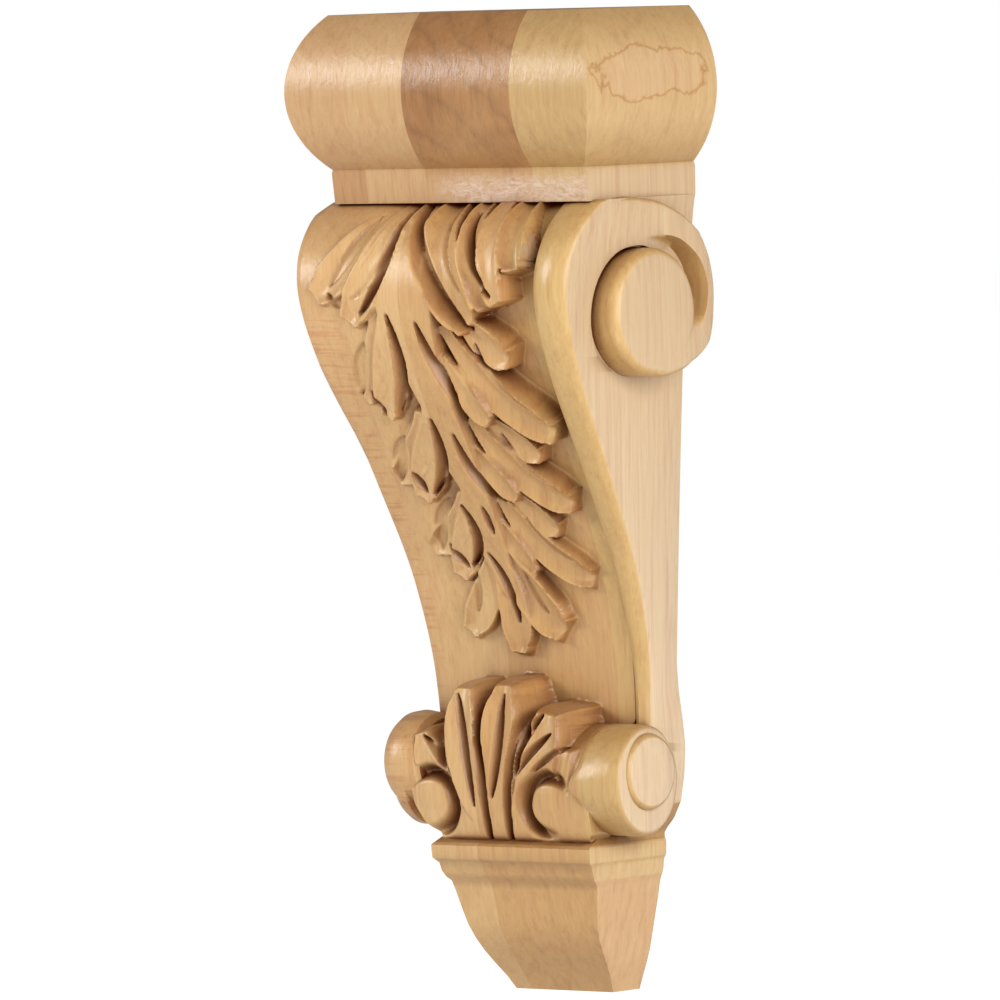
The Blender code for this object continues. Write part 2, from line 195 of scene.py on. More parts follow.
def ground_depth(x, z):
    """Depth of the face that the carving stands on: the sunk S-curve, then the lower roll."""
    reach = np.maximum(SCROLL_RADIUS ** 2 - (z - SCROLL_HEIGHT) ** 2, 0)
    roll = np.where(reach > 0, SCROLL_DEPTH + np.sqrt(reach) - SCROLL_SINK, 0)
    chin = np.where(z < CHIN[0][0] * MM, curve_through(CHIN, z), 0)
    return np.maximum(body_depth(z) - ground_sink(x, z), np.maximum(roll, chin))


def solid_from(name, bm):
    bmesh.ops.recalc_face_normals(bm, faces=bm.faces[:])
    mesh = bpy.data.meshes.new(name)
    bm.to_mesh(mesh)
    bm.free()
    piece = bpy.data.objects.new(name, mesh)
    bpy.context.collection.objects.link(piece)
    return piece


def loft(name, rings):
    """A closed solid bridged through rings of points."""
    bm = bmesh.new()
    loops = []
    for ring in rings:
        verts = [bm.verts.new(point) for point in ring]
        loops.append([bm.edges.new((verts[i - 1], verts[i])) for i in range(len(verts))])
    bm.faces.new([edge.verts[1] for edge in loops[0]])
    bm.faces.new([edge.verts[1] for edge in loops[-1]])
    for first, second in zip(loops, loops[1:]):
        bmesh.ops.bridge_loops(bm, edges=first + second)
    return solid_from(name, bm)


def block_ring(half_width, depth, z):
    return [(-half_width, 0, z), (half_width, 0, z), (half_width, -depth, z), (-half_width, -depth, z)]


def roll_and_neck():
    radius = (ROLL_HALF_HEIGHT ** 2 + ROLL_BULGE ** 2) / (2 * ROLL_BULGE)
    rings = []
    for i in range(ROLL_STEPS + 1):
        fall = ROLL_HALF_HEIGHT * (1 - math.cos(math.pi * i / ROLL_STEPS))
        bulge = math.sqrt(radius ** 2 - (fall - ROLL_HALF_HEIGHT) ** 2) - (radius - ROLL_BULGE)
        rings.append(block_ring(ROLL_HALF_WIDTH + bulge, ROLL_DEPTH + bulge, TOP - fall))
    for fall, half_width, depth in NECK:
        rings.append(block_ring(half_width * MM, depth * MM, TOP - fall * MM))
    return loft("roll", rings)


def side_core():
    """The S-curved block: a rounded band at the right, the sunk ground, and an eased corner at the left."""
    rings = []
    for z in np.linspace(SHOULDER, BODY_FOOT, BODY_RINGS):
        depth = float(body_depth(z))
        back = float(back_half_width(z))
        right = float(front_half_width(z))
        left = -right - float(left_flare(z))
        inner = right - float(band_width(z))
        sunk = float(ground_sink(inner, z)) + CORE_COVER
        # Distance across and how far behind the band's face: round the band, the ground and the left corner
        outline = [(right - 0.1 * MM, 2.2 * MM), (right - 0.6 * MM, 0.9 * MM), (right - 2.0 * MM, 0.1 * MM),
                   ((right + inner) / 2, -0.2 * MM), (inner + 1.4 * MM, 0.3 * MM),
                   (inner + 0.3 * MM, 1.4 * MM), (inner, sunk), (0, sunk), (left + 5 * MM, 1.5 * MM),
                   (left + 2.0 * MM, 0.4 * MM), (left + 0.6 * MM, 0.7 * MM), (left + 0.1 * MM, 1.8 * MM)]
        rings.append([(-back, 0, z), (back, 0, z)] + [(x, behind - depth, z) for x, behind in outline])
    return loft("core", rings)


def turned(name, centre_depth, height, profile, sides=96):
    rings = []
    for x, radius in profile:
        ring = []
        for i in range(sides):
            angle = 2 * math.pi * i / sides
            ring.append((x, -centre_depth - radius * math.cos(angle), height + radius * math.sin(angle)))
        rings.append(ring)
    return loft(name, rings)


def rounded_disc(half, radius, edge):
    """Profile of a disc whose rim is rounded over, from one side through to the other."""
    right = [(half - edge + edge * math.cos(a), radius - edge + edge * math.sin(a))
             for a in np.linspace(math.pi / 2, 0, 7)]
    right.append((half + 0.2 * MM, radius * 0.5))
    left = [(-x, r) for x, r in reversed(right)]
    return left + right


# Spiral of the upper scroll: radii from the front, over the top, to the rear and under, the degrees from one
# to the next, and the steps between them
SPIRAL = (25.0, 26.4, 27.5, 26.4, 24.4, 23.9, 23.9, 21.9, 20.5, 19.8, 16.5, 15.0, 14.4, 14.2, 14.2, 14.2, 14.2)
SPIRAL_TURN = 22.5
SPIRAL_STEPS = 4
# Its face climbs from the plain side, sinks again under the eye and rises level with it: middle of each, and
# how far to either side of that it reaches, in degrees
CLIMB = (87, 75)
FADE = (286, 16)
MEET_EYE = (203, 36)
# It starts this far under the plain side, and its rim keeps this width
UNDER_SIDE = 0.9 * MM
RIM = 1.5 * MM
# Trough behind the eye: turn in degrees, distance of its outer wall from the eye's middle, depth as a share
TROUGH = ((60, 15.5, 0), (84, 16.0, 0), (104, 16.8, 0.45), (122, 18.2, 0.85), (146, 19.0, 1.1),
          (165, 18.6, 1.15), (178, 17.4, 1), (196, 14.9, 0), (220, 13.4, 0), (360, 13.2, 0))
TROUGH_LEAST = 2.2 * MM
# Inner edge of the spiral face: it stands clear of the groove, then runs in under the eye
INNER_EDGE = ((0, 17), (45, 16), (60, 15.2), (90, 14.1), (104, 13.5), (114, 11.0), (360, 11.0))
# Rings of the face from the outer edge in: where each is measured from, how far inside that, how far it lies
# under the face, and how deep it lies in the trough. The first and last are buried in the block.
SPIRAL_RINGS = (("edge", 0, None, 0), ("edge", 0, 2.2, 0), ("edge", 0.15, 1.0, 0), ("edge", 0.6, 0.35, 0),
                ("edge", 1.3, 0, 0), ("wall", 0, 0, 0), ("wall", 0.7, 0, 2.4), ("wall", 1.6, 0, 4.0),
                ("inner", -0.4, 0, 4.4), ("inner", 0, 0, 4.4), ("inner", 0.1, None, 0))
BURIED = {"edge": 30 * MM, "inner": 31 * MM}


def side_at(depth, z):
    """Half width of the plain side at a depth and a height."""
    share = depth / float(body_depth(z))
    return float(back_half_width(z)) * (1 - share) + float(front_half_width(z)) * share


def spiral_face(turn, depth, z):
    """How far out the spiral's face stands, and how much of its climb it has made."""
    climb = float(step(turn - CLIMB[0], CLIMB[1]) * step(FADE[0] - turn, FADE[1]))
    rise = float(step(turn - MEET_EYE[0], MEET_EYE[1])) * (EYE_HALF_WIDTH - SPIRAL_FACE)
    low = side_at(min(depth, float(body_depth(z))), z) - UNDER_SIDE
    return low + (SPIRAL_FACE + rise - low) * climb, climb


def spiral_plate(side):
    """The raised spiral face: it leaves the side at the front, climbs over the top to the rear and runs in
    under the eye. Behind the eye it is scooped out up to a narrow rim."""
    count = (len(SPIRAL) - 1) * SPIRAL_STEPS
    radii = np.interp(np.arange(count + 1) / SPIRAL_STEPS, np.arange(len(SPIRAL)), SPIRAL) * MM
    turns, walls, shares = zip(*TROUGH)
    inner_turns, inner_radii = zip(*INNER_EDGE)
    rings = []
    for start, trim, under, hollow in SPIRAL_RINGS:
        ring = []
        for i in range(count + 1):
            turn = SPIRAL_TURN * i / SPIRAL_STEPS
            angle = math.radians(turn)
            inner = float(np.interp(turn, inner_turns, inner_radii)) * MM
            wall = min(float(np.interp(turn, turns, walls)) * MM, radii[i] - RIM)
            wall = max(wall, inner + TROUGH_LEAST)
            radius = {"edge": radii[i], "wall": wall, "inner": inner}[start] - trim * MM
            depth = max(EYE_DEPTH + radius * math.cos(angle), 0)
            z = EYE_HEIGHT + radius * math.sin(angle)
            face, climb = spiral_face(turn, depth, z)
            dip = hollow * MM * float(np.interp(turn, turns, shares)) * climb
            x = BURIED[start] if under is None else face - under * MM - dip
            ring.append((side * x, -depth, z))
        rings.append(ring)
    return loft("spiral", rings)


# Groove round the eye: how far before and under the eye its middle lies, the radius of its eased edge, how far
# across its floor and its mouth lie, and the cutter's radii from its end to its mouth
GROOVE_FORWARD = 2.0 * MM
GROOVE_DOWN = 0.5 * MM
GROOVE_EDGE = 0.8 * MM
GROOVE_FLOOR = 34.2 * MM
GROOVE_MOUTH = 60 * MM
GROOVE_RADII = (13 * MM, 14.4 * MM, 15 * MM)


def eye_grooves():
    """Cutters for the groove round the front of each eye."""
    least, floor_radius, mouth_radius = GROOVE_RADII
    cutters = []
    for side in (-1, 1):
        profile = [(side * GROOVE_FLOOR, least), (side * GROOVE_FLOOR, floor_radius - GROOVE_EDGE),
                   (side * (GROOVE_FLOOR + GROOVE_EDGE), floor_radius), (side * GROOVE_MOUTH, mouth_radius)]
        cutters.append(turned("groove", EYE_DEPTH + GROOVE_FORWARD, EYE_HEIGHT - GROOVE_DOWN, profile))
    return cutters


def eyes():
    """One disc through the block, whose two ends are the eyes."""
    profile = rounded_disc(EYE_HALF_WIDTH, EYE_RADIUS, EYE_EDGE)
    return turned("eyes", EYE_DEPTH + EYE_FORWARD, EYE_HEIGHT - EYE_DOWN, profile)


def drop():
    return loft("drop", [block_ring(DROP_HALF_WIDTH - side * MM, DROP_DEPTH - front * MM, DROP_TOP - fall * MM)
                         for fall, front, side in DROP_RINGS])


# Carving on the front, in millimetres. A lobe runs from its root (x, z) to its tip (x, z), then its width,
# its sideways bow, its level at the root and at the tip against the edge bands, and how deep it is scooped.
LOBES = (
    # first tier, left of the stem
    (-16, 70, -31.5, 48, 10.0, 2.0, 0.6, 1.4, 1.6), (-12, 70, -23, 43, 9.5, 2.0, 0.8, 1.6, 1.5),
    # first tier, right of the stem
    (-1, 70, 8.5, 43, 12.0, -3.4, 0.6, 1.5, 3.0), (7, 70, 14.5, 45.5, 7.0, -1.5, 1.0, 1.5, 2.2),
    (13.5, 70, 18, 46, 6.5, -1.0, 1.2, 1.6, 0.8), (19.5, 70, 22.3, 52.5, 8.0, -0.5, 1.2, 1.6, 2.8),
    # second tier
    (-17, 43, -25, 25.5, 8, 2.0, 0.4, 1.2, 1.2), (-15, 42, -20.5, 22, 7.5, 0.8, 0.8, 1.8, 1.0),
    (5, 42, 16.5, 34.5, 8, -0.6, -2.2, 0.2, 1.6), (1, 40, 22.8, 18.5, 8.5, -2.8, -1.0, 1.0, 2.6),
    (-1, 34, 7, 21.5, 6.5, -0.8, -0.4, 1.4, 1.4),
    # third tier
    (-13, 21, -24.5, 7, 7.5, 2.0, 0.2, 0.9, 1.2), (-12, 19, -19, 3.5, 8, 0.5, 0.6, 1.5, 1.0),
    (4, 21, 16.0, 13, 7, -0.6, -2.0, 0.0, 1.5), (1, 20, 20.2, 2.0, 8, -2.8, -1.0, 0.8, 2.4),
    (-2, 15, 6, 4, 6, -0.6, -0.6, 1.2, 1.4),
    # fourth tier
    (-9.5, 3, -21.5, -9, 7, 2.0, 0.2, 0.7, 1.2), (-9, 1, -16, -14.5, 7.5, 0.5, 0.6, 1.3, 1.0),
    (4, 4, 13.5, -4.5, 6.5, -0.6, -1.6, 0.0, 1.3), (1, 2, 19, -15.5, 8, -2.8, -0.8, 0.8, 2.2),
    (-2, -2, 4, -13.5, 5.5, -0.5, -0.2, 1.0, 1.2),
    # end of the leaf
    (-6, -10, -16.5, -27, 8.5, 1.0, 0.4, 1.4, 1.4), (-5, -10, -4, -31, 9, 0.8, 0.4, 1.8, 1.5),
    (-3, -10, 8.5, -27, 10.5, -1.5, 0.4, 2.0, 2.1),
)
# Tips further right than this are cut off blunt: both kinds reach past their end by a share of their half width
BLUNT_FROM = 7
BLUNT_TIP = 0.35
ROUND_TIP = 0.75
# Shares along and across a lobe: its width at the root, where it is full, where its tip draws in and how much,
# and how wide its hollow is and how deep at the root
ROOT_WIDTH = 0.45
FULL_AT = 0.625
TIP_FROM = 0.78
TIP_DRAW = 0.55
HOLLOW_WIDTH = 0.86
ROOT_HOLLOW = 0.35
# The stem: stations (x, z, half width, level)
STEM = ((-8.5, 70, 5.5, -0.4), (-9, 57, 5.5, 0.6), (-8.5, 46, 9.0, 0.8), (-8, 35, 7.0, 0.3),
        (-6.5, 24, 5.5, 0.3), (-7, 17, 6.5, 0.5), (-5, 5, 4.5, 0.5), (-6, -5, 5.5, 0.6), (-4, -20, 2.5, 0.8))
STEM_FOOT = -22
# Gouge cuts: start (x, z), end (x, z), width, bow, depth
CUTS = (
    # between the first tier's lobes, and the notch in its left tip
    (-20.5, 64, -29.5, 49, 3.0, 0.8, 2.6), (-12.5, 66, -21, 43, 3.6, 3.2, 3.4),
    (-9.5, 67, 8, 40.5, 4.0, -2.6, 3.4), (7.5, 63, 16.5, 47, 2.4, -1.6, 3.0), (1, 66, 7.5, 47, 1.6, -2.2, 0.8),
    (-30, 47, -26.5, 44, 2.6, 0, 2.0),
    # second tier
    (-13.5, 43, -18, 21.5, 3.4, 2.4, 3.6), (-5.5, 42, 0.5, 24, 3.2, -0.6, 2.8),
    (-22, 36, -27, 25, 4.2, -0.8, 2.6), (-24, 25.5, -21.5, 21, 2.4, 0, 2.2),
    # third tier
    (-9.5, 21, -16, 3.5, 3.4, 2.0, 3.4), (-4.5, 18, 1.5, 2, 3.0, -1.7, 2.6), (-20, 15, -25, 6, 4.0, -0.8, 2.4),
    (-20.5, 8, -18.5, 3.5, 2.4, 0, 2.2),
    # fourth tier
    (-10, 1, -12.5, -13, 3.2, 2.4, 3.2), (-4, 1, -3.5, -5, 2.0, 0, 1.8), (-15, 1, -20.5, -9.5, 3.8, -0.8, 2.2),
    (-18, -9, -14, -13.5, 2.2, 0, 2.0),
    # end of the leaf, then the veins along the long lobes
    (-7, -10, -3.5, -26, 2.4, 1.2, 2.2), (8, 37, 19, 23, 2.6, -1.6, 1.4), (7, 17, 17, 6, 2.4, -1.4, 1.2),
    (6, -2, 15, -12, 2.2, -1.2, 1.1), (-1, 40, 6, 26, 1.8, -0.6, 1.0), (1, -14, 5, -24, 1.8, -0.8, 0.9),
    (-13, 58, -23, 46, 1.6, 1.4, 0.7), (-12.5, -12, -15, -24, 1.8, 0.8, 0.8),
)
# A cut goes no deeper than this under the ground
CUT_UNDER = 0.6
# The leaf is tucked down this much towards the neck, over a run about this height
TUCK = 2.4
TUCK_HEIGHT = 64
TUCK_REACH = 6
# Shell: its face stands at (height, depth); its lobes and cuts are laid out like the leaf's
SHELL_FACE = ((-36, 23.4), (-44, 26), (-52, 27.4), (-60, 28), (-68, 27.2), (-75, 24.6))
SHELL = ((-3, -75, -2, -41.5, 11, 0, -0.6, 1.0, 1.6), (-5, -75, -13.5, -42, 10, 2.4, -0.6, 0.8, 1.4),
         (-1, -75, 11.5, -46, 11, -2.4, -0.6, 1.0, 1.6), (2, -73, 16.5, -53.5, 7.5, -2.6, -0.8, 0.0, 1.1),
         (-8, -73, -24.5, -51.5, 8, 3, -0.8, 0.0, 1.1))
SHELL_CUTS = ((-15, -42, -10, -66, 2.6, 0.8, 2.2), (-9.5, -43, -7, -77, 2.8, 1.2, 2.8),
              (-2, -42, -4.5, -64, 2.6, 0.8, 2.2), (3.5, -46, -1, -77, 2.8, -1.0, 2.8),
              (10, -46, 1.5, -60, 2.6, -1.0, 2.2), (12.5, -50, 3.5, -59, 2.0, -0.8, 2.0),
              (16.5, -53, 7, -58.5, 2.0, -0.4, 1.8), (-24, -51, -15.5, -60, 2.6, 0.6, 2.0))
# The level that means there is no shell
SHELL_BARE = -6.0
# Bosses beside the shell: middle (x, z), radius, and the middle of the crescent cut round it, in degrees
BOSSES = ((-22.5, -65.5, 6.2, 25), (11, -65.8, 6.0, 155))
# How far a boss lies behind the shell's face, and how fast it falls from its middle
BOSS_SINK = 0.8
BOSS_CROWN = 0.025
# The crescent: depth, width, how far outside the boss it lies, and where it starts to run out and ends, in
# degrees from its middle
CRESCENT = (3.8, 1.2, 0.5, 75, 135)


def along_curve(x, z, root, tip, bow, steps=14):
    """Where points lie against a bowed line: the share along it, the distance to its left or right, the plain
    distance, and how far past its tip, in millimetres."""
    root, tip = np.array(root, float), np.array(tip, float)
    line = tip - root
    length = np.hypot(*line)
    across = np.array((-line[1], line[0])) / length
    shares = np.linspace(0, 1, steps + 1)
    path = root + np.outer(shares, line) + np.outer(4 * bow * shares * (1 - shares), across)
    best = np.full(x.shape, 1e9)
    share = np.zeros(x.shape)
    side = np.zeros(x.shape)
    past = np.zeros(x.shape)
    for i in range(steps):
        a, b = path[i], path[i + 1]
        d = b - a
        size = np.hypot(*d)
        t = ((x - a[0]) * d[0] + (z - a[1]) * d[1]) / size ** 2
        held = np.clip(t, 0, 1)
        px, pz = a[0] + held * d[0], a[1] + held * d[1]
        away = np.hypot(x - px, z - pz)
        near = away < best
        best = np.where(near, away, best)
        share = np.where(near, (i + held) / steps, share)
        side = np.where(near, np.sign(d[0] * (z - a[1]) - d[1] * (x - a[0])) * away, side)
        past = np.where(near, (t - 1) * size if i == steps - 1 else 0, past)
    return share, side, best, np.maximum(past, 0)


def step(value, width):
    """0 well under zero and 1 well over it, with a smooth rise over the width to either side."""
    t = np.clip(value / width * 0.5 + 0.5, 0, 1)
    return t * t * (3 - 2 * t)


def lobe_level(x, z, spec, wall=0.35):
    """Level of one scooped lobe, and how far a point lies inside it, from 0 to 1."""
    root_x, root_z, tip_x, tip_z, width, bow, low, high, scoop = spec
    share, side, away, past = along_curve(x, z, (root_x, root_z), (tip_x, tip_z), bow)
    fullness = np.sin(np.pi / 2 * np.minimum(share / FULL_AT, 1))
    half = width / 2 * (ROOT_WIDTH + (1 - ROOT_WIDTH) * fullness)
    cap = np.clip((share - TIP_FROM) / (1 - TIP_FROM), 0, 1)
    half = half * np.sqrt(np.maximum(1 - cap ** 2 * TIP_DRAW, 0))
    off = np.abs(side) / np.maximum(half, 0.01)
    hollow = scoop * (ROOT_HOLLOW + (1 - ROOT_HOLLOW) * share) * np.clip(1 - (off / HOLLOW_WIDTH) ** 2, 0, 1)
    beside = np.sqrt(np.maximum(away ** 2 - past ** 2, 0))
    if tip_x < BLUNT_FROM:
        end = np.minimum(half - away, half * ROUND_TIP - past)
    else:
        end = np.minimum(half, half * BLUNT_TIP - past)
    return low + (high - low) * share - hollow, np.minimum(step(half - beside, wall), step(end, wall))


def cut_depth(x, z, spec):
    """Depth of one gouge cut, which is a groove with a sharp bottom that runs out at both ends."""
    start_x, start_z, end_x, end_z, width, bow, depth = spec
    share, _, away, _ = along_curve(x, z, (start_x, start_z), (end_x, end_z), bow)
    half = width / 2 * np.sqrt(np.clip(np.sin(np.pi * np.clip(share, 0.02, 0.98)), 0, 1))
    return depth * np.clip(1 - away / np.maximum(half, 0.05), 0, 1) ** 0.8


def leaf(x, z):
    """Rise of the leaf over its ground, in millimetres, for points across the front."""
    ground = -ground_sink(x * MM, z * MM) / MM
    middles, heights, halves, tops = np.array(STEM)[::-1].T
    half = np.interp(z, heights, halves)
    top = np.interp(z, heights, tops)
    inside = step(half - np.abs(x - np.interp(z, heights, middles)), 1.2) * step(z - STEM_FOOT, 3)
    level = np.maximum(ground, ground + (top - ground) * inside)
    for spec in LOBES:
        top, inside = lobe_level(x, z, spec)
        level = np.maximum(level, ground + (top - ground) * inside)
    for spec in CUTS:
        level = level - np.minimum(cut_depth(x, z, spec), np.maximum(level - ground + CUT_UNDER, 0))
    rise = level - ground
    return np.maximum(rise - TUCK * step(z - TUCK_HEIGHT, TUCK_REACH), np.minimum(rise, 0))


def boss(x, z, face, centre_x, centre_z, radius, facing):
    """Depth of a boss, the crescent cut round it, and where it stands."""
    cut, width, gap, full_to, end = CRESCENT
    away = np.hypot(x - centre_x, z - centre_z)
    bearing = np.degrees(np.arctan2(z - centre_z, x - centre_x)) - facing
    bearing = np.abs((bearing + 180) % 360 - 180)
    reach = np.clip((end - bearing) / (end - full_to), 0, 1)
    depth = (face - BOSS_SINK - BOSS_CROWN * away ** 2) * step(radius - away, 0.7)
    return depth, cut * reach * np.exp(-((away - radius - gap) / width) ** 2), away < radius


def shell(x, z):
    """Depth of the shell before the wall, 0 where there is none, and how deep it is cut, in millimetres."""
    face = curve_through(SHELL_FACE, z * MM) / MM
    level = np.full(x.shape, SHELL_BARE)
    for spec in SHELL:
        top, within = lobe_level(x, z, spec, 1.2)
        level = np.maximum(level, SHELL_BARE + (top - SHELL_BARE) * within)
    cuts = np.zeros(x.shape)
    for spec in SHELL_CUTS:
        on_shell = np.clip((level - SHELL_BARE - 1) / 2 + (z < SCROLL_HEIGHT / MM + 0.5), 0, 1)
        cuts = np.maximum(cuts, cut_depth(x, z, spec) * on_shell)
    depth = (face + level) * step(level - SHELL_BARE - 0.6, 1.2)
    for spec in BOSSES:
        crown, crescent, inside = boss(x, z, face, *spec)
        depth = np.maximum(np.where(inside, 0, depth), crown)
        cuts = np.maximum(np.where(inside, 0, cuts), crescent)
    return depth, cuts


def applied(piece):
    """Bakes the modifiers of a piece into its mesh."""
    graph = bpy.context.evaluated_depsgraph_get()
    mesh = bpy.data.meshes.new_from_object(piece.evaluated_get(graph))
    piece.modifiers.clear()
    old = piece.data
    piece.data = mesh
    bpy.data.meshes.remove(old)


# Carved panel: how far its sides run in under the band and the left corner, and stay inside the block
PANEL_UNDER_BAND = 1.2 * MM
PANEL_UNDER_LEFT = 1.6 * MM
PANEL_LEAST = 0.6 * MM
# It reaches this far into the block, but keeps this distance from its back
PANEL_BACK = 7 * MM
PANEL_LEAST_BACK = 2 * MM
PANEL_WIDTH = 64 * MM
# Under this height it covers the lower roll, this far to the right and, by height, this far to the left
ROLL_START = -49 * MM
ROLL_RIGHT = 22.8 * MM
ROLL_LEFT = ((-75, 22), (-73, 25.5), (-70, 30), (-66, 31.5))
# Over this height the carving rises square to the ground, and under it straight to the front
SQUARE_ABOVE = -34
STEEPEST = 1.5
# How many heights the ground is measured at
GROUND_SAMPLES = 4000


def panel_sides(z):
    """Where the carved panel starts and ends across the front."""
    on_roll = step((ROLL_START - z) / MM, 1.5)
    heights, reaches = zip(*ROLL_LEFT)
    left_edge = -front_half_width(z) - left_flare(z)
    left = (left_edge + PANEL_UNDER_LEFT) * (1 - on_roll) - np.interp(z / MM, heights, reaches) * MM * on_roll
    right = (front_half_width(z) - band_width(z) + PANEL_UNDER_BAND) * (1 - on_roll) + ROLL_RIGHT * on_roll
    return np.maximum(left, left_edge + PANEL_LEAST), np.minimum(right, front_half_width(z) - PANEL_LEAST)


def panel_slope(x, z):
    """How steeply the ground under the carving leans, where the carving follows it."""
    reach = 0.4 * MM
    slope = (ground_depth(x, z + reach) - ground_depth(x, z - reach)) / (2 * reach)
    return np.clip(slope, -STEEPEST, STEEPEST) * step(z / MM - SQUARE_ABOVE, 4)


def panel_points(across, z):
    """The slab's back and its carved face, for shares across the front and heights."""
    left, right = panel_sides(z)
    x = left + (right - left) * across
    ground = ground_depth(x, z)
    face, cuts = shell(x / MM, z / MM)
    proud = np.maximum(face * MM - ground, 0) - cuts * MM
    slope = panel_slope(x, z)
    length = np.hypot(1, slope)
    rise = leaf(x / MM, z / MM) * MM
    carved = np.stack([x, -(ground + rise / length) - proud, z - rise * slope / length], 1)
    return np.stack([x, np.minimum(PANEL_BACK - ground, -PANEL_LEAST_BACK), z], 1), carved


def front_panel():
    """The sunk ground with all its carving, as one slab through the front of the block."""
    heights = np.linspace(BODY_FOOT, SHOULDER - 0.1 * MM, GROUND_SAMPLES)
    run = np.hypot(np.diff(heights), np.diff(ground_depth(0, heights)))
    run = np.concatenate(([0], np.cumsum(run)))
    grain = FINE * 1
    bm = bmesh.new()
    bmesh.ops.create_grid(bm, x_segments=int(PANEL_WIDTH / grain), y_segments=int(run[-1] / grain), size=0.5)
    bmesh.ops.extrude_face_region(bm, geom=bm.faces[:])
    piece = solid_from("panel", bm)
    count = len(piece.data.vertices)
    flat = np.empty(count * 3)
    piece.data.vertices.foreach_get("co", flat)
    flat = flat.reshape(-1, 3)
    z = np.interp((flat[:, 1] + 0.5) * run[-1], run, heights)
    behind, carved = panel_points(flat[:, 0] + 0.5, z)
    # The grid's own vertices are the back of the slab, and those extruded from it are its carved face
    place = np.concatenate((behind[:count // 2], carved[count // 2:]))
    piece.data.vertices.foreach_set("co", place.ravel())
    piece.data.update()
    eased = piece.modifiers.new("eased", "SMOOTH")
    eased.factor = 0.5
    eased.iterations = 2
    applied(piece)
    return piece


# Lower roll from its left end to its right: distance across, and radius against the rim's, in millimetres
LOWER_ROLL = ((-33.8, -3.7), (-33.4, -2.0), (-32, -1.2), (-30, -1.2), (-28, -5.2), (18.2, -5.2), (20.0, -1.8),
              (21.0, -0.5), (22.8, 0), (29.4, 0.1), (31.5, -0.2), (32.25, -0.8), (32.4, -1.8))
# Its rim is drawn in here in a soft nose, and its right end leans in to the back
NOSE = 2.8 * MM
NOSE_HEIGHT = -61 * MM
NOSE_REACH = 3.5 * MM
NOSE_FROM = 19 * MM
NOSE_TO = 24 * MM
LEAN = 0.09
LEAN_DEPTH = 28 * MM
# Left end of the lower roll, and the small eye: distance across and radius, in millimetres
LEFT_END = ((-36.2, 4), (-36.0, 7.6), (-35.2, 9.6), (-33.6, 10.7), (-31.2, 11.1), (-27.2, 10.6), (-25.2, 9.4))
SMALL_EYE = ((24, 7), (24, 8.4), (31.6, 8.4), (32.4, 8.1), (32.9, 7.2), (33.1, 4))
# How far before and over the lower roll's middle they sit
LEFT_END_SHIFT = (1.4 * MM, 3.3 * MM)
SMALL_EYE_SHIFT = (0.6 * MM, 2.0 * MM)


def lower_scroll():
    """The lower roll: sunk in the middle, with a drawn-in rim and a leaning end at the right."""
    profile = [(x * MM, SCROLL_RADIUS + over * MM) for x, over in LOWER_ROLL]
    piece = turned("lower_scroll", SCROLL_DEPTH, SCROLL_HEIGHT, profile)
    for vert in piece.data.vertices:
        x, y, z = vert.co
        on_rim = NOSE_FROM < x < NOSE_TO
        nose = NOSE * math.exp(-((z - NOSE_HEIGHT) / NOSE_REACH) ** 2) if on_rim else 0
        lean = 1 - LEAN + LEAN * min(-y / LEAN_DEPTH, 1) if x > 0 else 1
        vert.co.x = (x - nose) * lean
    return piece


def left_scroll():
    """The smaller, higher disc that ends the lower roll at the left."""
    profile = [(x * MM, radius * MM) for x, radius in LEFT_END]
    forward, up = LEFT_END_SHIFT
    return turned("left_scroll", SCROLL_DEPTH + forward, SCROLL_HEIGHT + up, profile)


def small_eye():
    """The disc on the lower roll's right end."""
    profile = [(x * MM, radius * MM) for x, radius in SMALL_EYE]
    forward, up = SMALL_EYE_SHIFT
    return turned("small_eye", SCROLL_DEPTH + forward, SCROLL_HEIGHT + up, profile)


def carve():
    """Cuts the grooves out of the block and unites its shaped parts into one skin."""
    corbel = side_core()
    corbel.name = "carved_corbel"
    grooves = eye_grooves()
    parts = grooves + [spiral_plate(1), spiral_plate(-1), roll_and_neck(), drop(), lower_scroll(),
                       left_scroll(), eyes(), small_eye(), front_panel()]
    for part in parts:
        joint = corbel.modifiers.new("joint", "BOOLEAN")
        joint.operation = "DIFFERENCE" if part in grooves else "UNION"
        joint.solver = "MANIFOLD"
        joint.object = part
    applied(corbel)
    for part in parts:
        bpy.data.meshes.remove(part.data)
    return corbel


def worked_over(corbel):
    """Thins the skin to the number of triangles it may keep, and sets which edges show as sharp."""
    corbel.data.update()
    faces = sum(len(face.vertices) - 2 for face in corbel.data.polygons)
    if faces > TRIANGLES:
        thin = corbel.modifiers.new("thin", "DECIMATE")
        thin.ratio = TRIANGLES / faces
        applied(corbel)
    corbel.data.shade_smooth()
    corbel.data.set_sharp_from_angle(angle=SHARP)
    return corbel


corbel = worked_over(carve())
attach(corbel, "root")
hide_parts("corbel")


def linear(red, green, blue):
    """A colour given as it looks on a screen, 0 to 255, as the shader wants it."""
    shares = [value / 255 for value in (red, green, blue)]
    return tuple(((c + 0.055) / 1.055) ** 2.4 if c > 0.04 else c / 12.92 for c in shares) + (1,)


def grey(value):
    return (value, value, value, 1)


